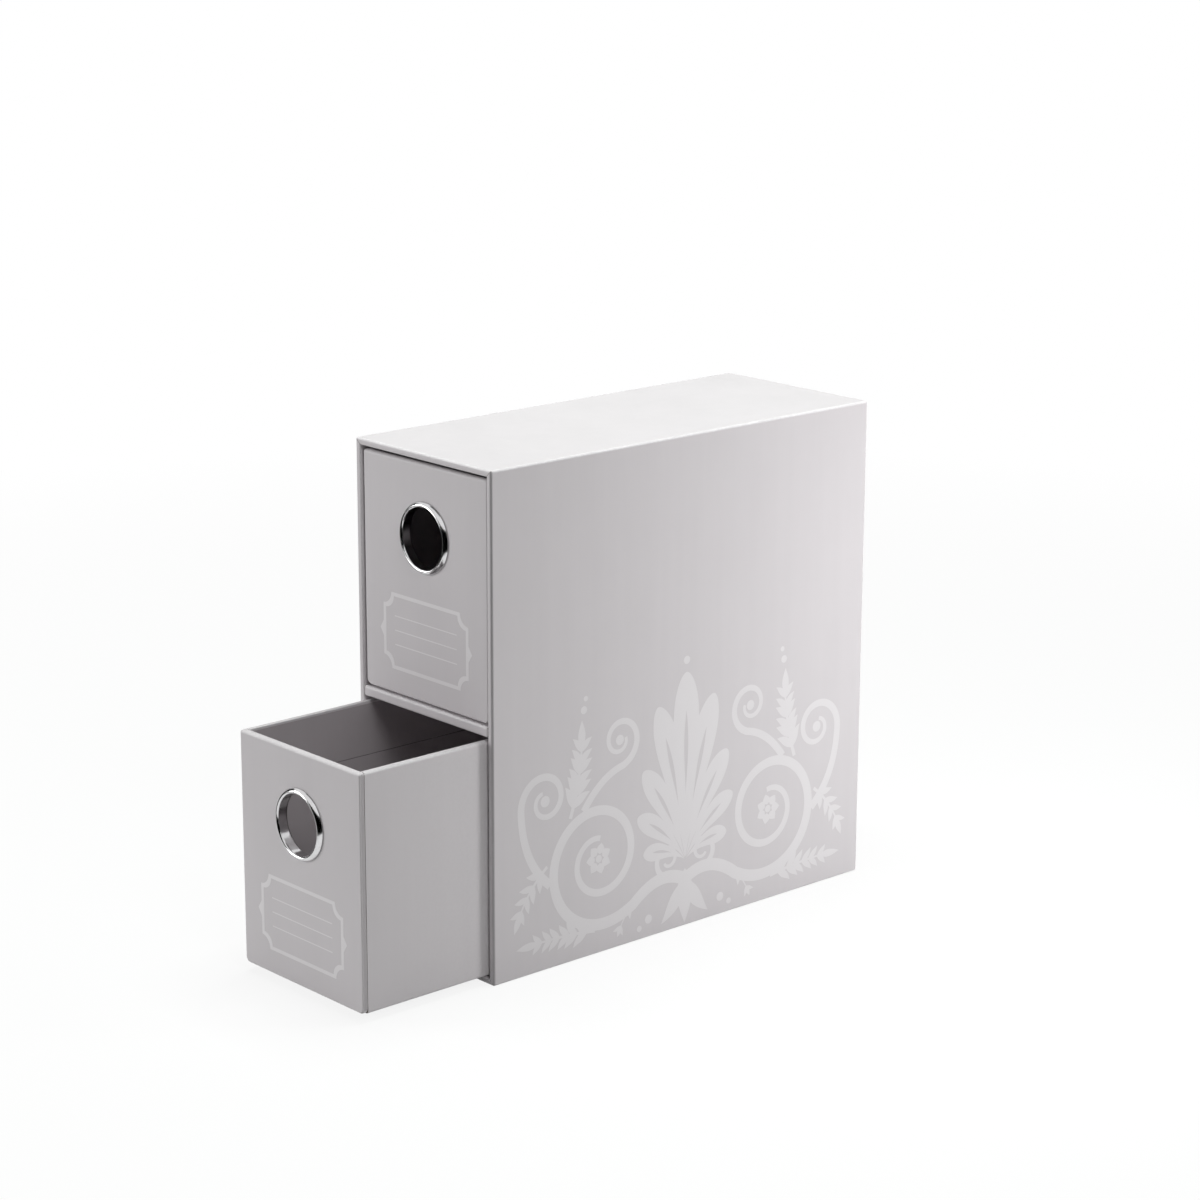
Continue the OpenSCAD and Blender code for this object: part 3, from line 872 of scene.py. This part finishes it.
def make_print(name, solid, cut, extra, place, rise):
    """Ink on a sheet: the union of the solid shapes without the cut ones, and the extra shapes, as
    a film that stands proud of the paper by rise and reaches as deep into it."""
    shapes = [anticlockwise(shape) for shape in solid + cut + extra]
    points = []
    outlines = []
    for shape in shapes:
        outlines.append(list(range(len(points), len(points) + len(shape))))
        points += shape
    found, _edges, tiles, _from_points, _from_edges, sources = delaunay_2d_cdt(
        points, [], outlines, TILES_INSIDE, SAME_POINT, True)
    solids = set(range(len(solid)))
    cuts = set(range(len(solid), len(solid) + len(cut)))
    kept = []
    for tile, source in zip(tiles, sources):
        source = set(source)
        filled = source & solids and not source & cuts
        if filled or source - solids - cuts:
            kept.append(tuple(tile))
    count = len(found)
    film = [place(p, rise) for p in found] + [place(p, -rise) for p in found]
    faces = []
    sides = {}
    for tile in kept:
        faces.append(tile)
        faces.append(tuple(k + count for k in tile[::-1]))
        for k in range(len(tile)):
            edge = (tile[k], tile[(k + 1) % len(tile)])
            if not sides.pop(edge[::-1], False):
                sides[edge] = True
    for one, other in sides:
        faces.append((other, one, one + count, other + count))
    used = sorted({k for face in faces for k in face})
    number = {k: n for n, k in enumerate(used)}
    return make_object(name, [film[k] for k in used],
                       [tuple(number[k] for k in face) for face in faces])


# Materials

def srgb(red, green, blue):
    """A colour given as it shows on a screen, from 0 to 255, as Blender's linear values."""
    def linear(value):
        share = value / 255
        return share / 12.92 if share <= 0.04045 else ((share + 0.055) / 1.055) ** 2.4
    return (linear(red), linear(green), linear(blue), 1.0)


def grey(level):
    return (level, level, level, 1.0)


class Tree:
    """The nodes of a material or of the world. An input takes a plain value or another's output."""

    def __init__(self, owner):
        owner.use_nodes = True
        self.nodes = owner.node_tree.nodes
        self.links = owner.node_tree.links
        self.nodes.clear()

    def feed(self, node, inputs):
        for name, value in inputs.items():
            if isinstance(value, (int, float, tuple)):
                node.inputs[name].default_value = value
            else:
                self.links.new(value, node.inputs[name])
        return node

    def add(self, kind, inputs):
        return self.feed(self.nodes.new(kind), inputs)

    def place(self):
        """The object's own coordinates."""
        return self.nodes.new("ShaderNodeTexCoord").outputs["Object"]

    def noise(self, place, scale, stretch=(1, 1, 1), detail=3.0, roughness=0.55):
        mapping = self.add("ShaderNodeMapping", {"Vector": place, "Scale": stretch})
        inputs = {"Vector": mapping.outputs["Vector"], "Scale": scale,
                  "Detail": detail, "Roughness": roughness}
        return self.add("ShaderNodeTexNoise", inputs).outputs["Fac"]

    def remap(self, value, low, high, to_low, to_high):
        """A value from low to high, stretched to run from to_low to to_high."""
        inputs = {"Value": value, "From Min": low, "From Max": high,
                  "To Min": to_low, "To Max": to_high}
        return self.add("ShaderNodeMapRange", inputs).outputs["Result"]

    def maths(self, operation, one, other):
        node = self.nodes.new("ShaderNodeMath")
        node.operation = operation
        return self.feed(node, {0: one, 1: other}).outputs["Value"]

    def mix_colour(self, share, one, other, blend="MIX"):
        """Mixes two colours. The node's colour sockets are told apart only by number."""
        node = self.nodes.new("ShaderNodeMix")
        node.data_type = "RGBA"
        node.blend_type = blend
        return self.feed(node, {"Factor": share, 6: one, 7: other}).outputs[2]

    def mix_shaders(self, share, one, other):
        return self.add("ShaderNodeMixShader", {"Fac": share, 1: one, 2: other}).outputs["Shader"]

    def mark(self, name):
        """The number that a mesh holds for each of its points under a name."""
        node = self.nodes.new("ShaderNodeAttribute")
        node.attribute_name = name
        return node.outputs["Fac"]

    def bump(self, height, strength, distance):
        inputs = {"Height": height, "Strength": strength, "Distance": distance}
        return self.add("ShaderNodeBump", inputs).outputs["Normal"]

    def seen_directly(self):
        """1 for rays from the camera, off shiny surfaces and through clear ones, otherwise 0."""
        path = self.nodes.new("ShaderNodeLightPath").outputs
        seen = self.maths("MAXIMUM", path["Is Camera Ray"], path["Is Glossy Ray"])
        return self.maths("MAXIMUM", seen, path["Is Transmission Ray"])

    def finish(self, shader, output="ShaderNodeOutputMaterial"):
        self.add(output, {"Surface": shader})

    def finish_solid(self, inputs):
        """Ends the tree with one shader for a solid surface."""
        self.finish(self.add("ShaderNodeBsdfPrincipled", inputs).outputs["BSDF"])


def new_material(name):
    material = bpy.data.materials.new(name)
    return material, Tree(material)


def paper_material(name, pale, worn, dark_joint_and_shade_colour, roughness, specular, grain):
    """Paper over board: a soft vertical grain and mottle, rubbed edges, dark joints that are partly
    painted shade, painted shade on some edges and darkened rims.
    """
    material, tree = new_material(name)
    place = tree.place()
    streak = tree.noise(place, 150.0, (1.0, 1.0, 0.05))
    mottle = tree.noise(place, 42.0, (1.0, 1.0, 0.7), 4.0)
    fibre = tree.noise(place, 2600.0, (1.0, 1.0, 0.6), 3.0, 0.7)
    rub = tree.noise(place, 700.0, (1.0, 1.0, 1.0), 4.0, 0.65)
    shade = tree.maths("ADD", tree.remap(streak, 0.3, 0.7, -0.5, 0.5),
                       tree.remap(mottle, 0.3, 0.7, -0.5, 0.5))
    level = tree.remap(shade, -1.0, 1.0, 1.0 - grain, 1.0 + grain)
    worn_share = tree.maths("MULTIPLY", tree.mark("wear"), tree.remap(rub, 0.35, 0.65, 0.25, 0.9))
    colour = tree.mix_colour(1.0, pale, level, "MULTIPLY")
    colour = tree.mix_colour(worn_share, colour, worn)
    # dark joint lines, partly painted shade in their grooves, painted shade on upright edges and darkened
    # rims
    colour = tree.mix_colour(tree.mark("dark_joint_and_shade"), colour, dark_joint_and_shade_colour)
    gloss = tree.maths("ADD", tree.remap(mottle, 0.3, 0.7, roughness - 0.04, roughness + 0.04),
                       tree.maths("MULTIPLY", worn_share, -0.08))
    tree.finish_solid({
        "Base Color": colour,
        "Roughness": gloss,
        "Specular IOR Level": specular,
        "Normal": tree.bump(fibre, 0.12, 0.02 * MM),
    })
    return material


def board_material():
    """Greyboard: flecked pulp."""
    material, tree = new_material("greyboard")
    place = tree.place()
    pulp = tree.noise(place, 900.0, (1.0, 1.0, 1.0), 5.0, 0.7)
    fleck = tree.noise(place, 2600.0, (1.0, 1.0, 0.4), 2.0, 0.6)
    colour = tree.mix_colour(tree.remap(pulp, 0.3, 0.7, 0.0, 1.0),
                             srgb(128, 120, 108), srgb(166, 158, 146))
    colour = tree.mix_colour(tree.remap(fleck, 0.66, 0.72, 0.0, 0.7), colour, srgb(88, 84, 78))
    tree.finish_solid({
        "Base Color": colour,
        "Roughness": 0.85,
        "Normal": tree.bump(pulp, 0.3, 0.05 * MM),
    })
    return material


def metal_material():
    """Bright plated steel with a trace of fine wear."""
    material, tree = new_material("ring_metal")
    place = tree.place()
    haze = tree.noise(place, 320.0, (1.0, 1.0, 1.0), 4.0, 0.6)
    fine = tree.noise(place, 5200.0, (1.0, 0.25, 1.0), 2.0, 0.6)
    tree.finish_solid({
        "Base Color": tree.mix_colour(tree.remap(haze, 0.35, 0.65, 0.0, 1.0),
                                      srgb(208, 207, 208), srgb(220, 220, 221)),
        "Metallic": 1.0,
        "Roughness": tree.remap(haze, 0.3, 0.7, 0.12, 0.19),
        "Normal": tree.bump(fine, 0.05, 0.005 * MM),
    })
    return material


def floor_material():
    """A white floor that keeps a soft part of the object's shadow and is plain white further off."""
    material, tree = new_material("floor_white")
    place = tree.place()
    seen = tree.seen_directly()
    pale = tree.mix_colour(tree.noise(place, 3.0), grey(0.86), grey(0.88))
    matte = tree.add("ShaderNodeBsdfDiffuse", {"Color": tree.mix_colour(seen, grey(0.45), pale)})
    away = tree.nodes.new("ShaderNodeVectorMath")
    away.operation = "LENGTH"
    tree.feed(away, {0: place})
    share = tree.remap(away.outputs["Value"], SHADOW_NEAR, SHADOW_FAR, FLOOR_WHITE, 1.0)
    white = tree.add("ShaderNodeEmission", {"Color": grey(1.0), "Strength": 1.0})
    tree.finish(tree.mix_shaders(tree.maths("MULTIPLY", seen, share), matte.outputs["BSDF"],
                                 white.outputs["Emission"]))
    return material


def card_material():
    material, tree = new_material("studio_black")
    black = tree.add("ShaderNodeEmission", {"Color": grey(0.0), "Strength": 0.0})
    tree.finish(black.outputs["Emission"])
    return material


def use_material(obj, material):
    obj.data.materials.clear()
    obj.data.materials.append(material)


# The studio

def set_world():
    """A world that is white where it is seen and gives no light."""
    world = bpy.data.worlds.new("studio")
    bpy.context.scene.world = world
    tree = Tree(world)
    fill = tree.add("ShaderNodeBackground", {"Color": grey(1.0), "Strength": 0.0})
    white = tree.add("ShaderNodeBackground", {"Color": grey(1.0), "Strength": 1.0})
    shader = tree.mix_shaders(tree.seen_directly(), fill.outputs["Background"],
                              white.outputs["Background"])
    tree.finish(shader, "ShaderNodeOutputWorld")


def add_lamp(name, place, aim, size, power, shows=False, colour=(1.0, 1.0, 1.0)):
    """A soft lamp at a place, turned towards a point. Shiny surfaces show it only where told."""
    data = bpy.data.lights.new(name, "AREA")
    data.shape = "RECTANGLE"
    data.size = size[0]
    data.size_y = size[1]
    data.energy = power
    data.color = colour
    lamp = bpy.data.objects.new(name, data)
    bpy.context.scene.collection.objects.link(lamp)
    lamp.location = place
    lamp.rotation_euler = (Vector(aim) - Vector(place)).to_track_quat("-Z", "Y").to_euler()
    lamp.visible_camera = False
    lamp.visible_glossy = shows


def add_stage(name, points, faces, material):
    """A piece of the studio, which isn't part of the object."""
    mesh = bpy.data.meshes.new(name)
    mesh.from_pydata(points, [], faces)
    stage = bpy.data.objects.new(name, mesh)
    bpy.context.scene.collection.objects.link(stage)
    use_material(stage, material)
    return stage


def add_square(name, half, z, material):
    """A level square above the origin."""
    points = [(-half, -half, z), (half, -half, z), (half, half, z), (-half, half, z)]
    return add_stage(name, points, [(0, 1, 2, 3)], material)


def add_surround(material):
    """A dark tray round the white part of the floor, with low walls."""
    rings = ((SURROUND_IN, SURROUND_Z), (SURROUND_OUT, SURROUND_Z), (SURROUND_OUT, SURROUND_H))
    points = []
    for radius, z in rings:
        for k in range(SURROUND_STEPS):
            turn = 2 * math.pi * k / SURROUND_STEPS
            points.append((radius * math.cos(turn), radius * math.sin(turn) + SURROUND_Y, z))
    faces = grid_faces(0, len(rings), SURROUND_STEPS, False, True)
    return add_stage("surround", points, faces, material)


def show_only_shiny(stage):
    """Only shiny surfaces see it: it gives the metal its dark reflections."""
    stage.visible_camera = False
    stage.visible_diffuse = False
    stage.visible_transmission = False
    stage.visible_shadow = False


def add_camera():
    """The camera solved from the photograph."""
    data = bpy.data.cameras.new("camera")
    data.sensor_width = 36.0
    data.lens = 96.18
    data.clip_start = 0.05
    data.clip_end = 100.0
    camera = bpy.data.objects.new("camera", data)
    bpy.context.scene.collection.objects.link(camera)
    place = (0.93356, -0.84779, 0.46479)
    look = Vector((-0.71924, 0.64549, -0.25697))
    right = Vector((0.66735, 0.74474, 0.00286))
    up = Vector((-0.19323, 0.16943, 0.96641))
    turn = Matrix((right, up, -look)).transposed().to_4x4()
    camera.matrix_world = Matrix.Translation(place) @ turn
    bpy.context.scene.camera = camera


def stand_for(obj, node, body, slot, material):
    """The object takes the place of a CAD node."""
    use_material(obj, material)
    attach(obj, body)
    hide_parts(node)


# The work

add_camera()
bpy.context.scene.view_settings.view_transform = "Standard"

RUBBED_PAPER = srgb(232, 228.5, 230.5)
LABEL_PALE = srgb(238, 234.5, 236.5)
INK_DARK_JOINT_AND_SHADE = srgb(200, 196, 198)
case_paper = paper_material("case_paper", srgb(218, 213.5, 216), RUBBED_PAPER,
                            srgb(120, 115, 118), 0.52, 0.35, 0.018)
lining_paper = paper_material("lining_paper", srgb(188, 182, 185), srgb(194, 188, 191),
                              srgb(104, 98, 101), 0.7, 0.3, 0.03)
side_ink = paper_material("side_ink", RUBBED_PAPER, RUBBED_PAPER, INK_DARK_JOINT_AND_SHADE, 0.42, 0.4, 0.006)
label_ink = paper_material("label_ink", LABEL_PALE, LABEL_PALE, INK_DARK_JOINT_AND_SHADE, 0.42, 0.4, 0.006)
greyboard = board_material()
ring_metal = metal_material()

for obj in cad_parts.values():
    use_material(obj, greyboard)

for piece, node in (
    (make_case_cover(), "case_wrap"),
    (make_shelf_cover(), "shelf_wrap"),
    (make_glued_sheet("back_cover", "back_sheet", lambda p, level: Vector((p.x, level, p.y)),
                      (0, 2), CAD_BOX[1][1]), "back_sheet"),
    (make_glued_sheet("base_cover", "base_sheet", lambda p, level: Vector((p.x, p.y, -level)),
                      (0, 1), 0.0), "base_sheet"),
):
    stand_for(piece, node, "case", "case_paper", case_paper)
for which in ("upper", "lower"):
    body = which + "_drawer"
    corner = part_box(which + "_panel_wrap")[0]
    to_drawer = Matrix.Translation((0, corner[1], corner[2]))
    stand_for(make_sleeve(which + "_sleeve", which + "_bay_lining"), which + "_bay_lining", "case",
              "bay_lining", lining_paper)
    for piece, node, slot, material in (
        (make_panel_cover(which + "_panel_cover"), "_panel_wrap", "drawer_paper", case_paper),
        (make_tray_cover(which + "_tray_cover"), "_tray_wrap", "drawer_paper", case_paper),
        (make_tray_inside(which + "_tray_inside"), "_tray_lining", "tray_lining", lining_paper),
        (make_ring(which + "_ring"), "_finger_ring", "ring_metal", ring_metal),
        (make_washer(which + "_washer"), "_ring_washer", "ring_metal", ring_metal),
    ):
        piece.data.transform(to_drawer)
        stand_for(piece, which + node, body, slot, material)

filled, left_out = side_ornament()
for side, name in ((1, "right_print"), (-1, "left_print")):
    face_x = WRAP_HIGH.x * side
    film = make_print(name, filled, left_out, [],
                      lambda p, out: Vector((face_x + side * out, p.x * MM, p.y * MM)), INK_T)
    use_material(film, side_ink)
    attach(film, "case")
filled, left_out, rules = label_frame()
for which in ("upper", "lower"):
    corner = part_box(which + "_panel_wrap")[0]
    label_middle = Vector((0, corner[1], corner[2] + LABEL_Z))
    film = make_print(which + "_label", filled, left_out, rules,
                      lambda p, out: label_middle + Vector((p.x * MM, -out, p.y * MM)), INK_T)
    use_material(film, label_ink)
    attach(film, which + "_drawer")

set_world()
add_square("floor", FLOOR_HALF, FLOOR_Z, floor_material())
LAMP_TINT = (1.0, 1.045, 1.015)
add_lamp("lamp_top", (0.0, 0.1, 1.2), (0, 0, 0.1), (0.6, 0.6), 12.2, False, LAMP_TINT)
add_lamp("lamp_left", (-0.85, -0.95, 0.35), (0, -0.1, 0.1), (0.6, 0.7), 8.6, True)
add_lamp("lamp_right_high", (0.9, -0.35, 0.85), (0, -0.12, 0.1), (0.4, 0.4), 2.8)
add_lamp("lamp_right", (0.28, 0.2, 0.16), (0.04, 0.06, 0.16), (0.12, 0.3), 0.66)
studio_black = card_material()
show_only_shiny(add_surround(studio_black))
show_only_shiny(add_square("card_above", CARD_HALF, CARD_Z, studio_black))
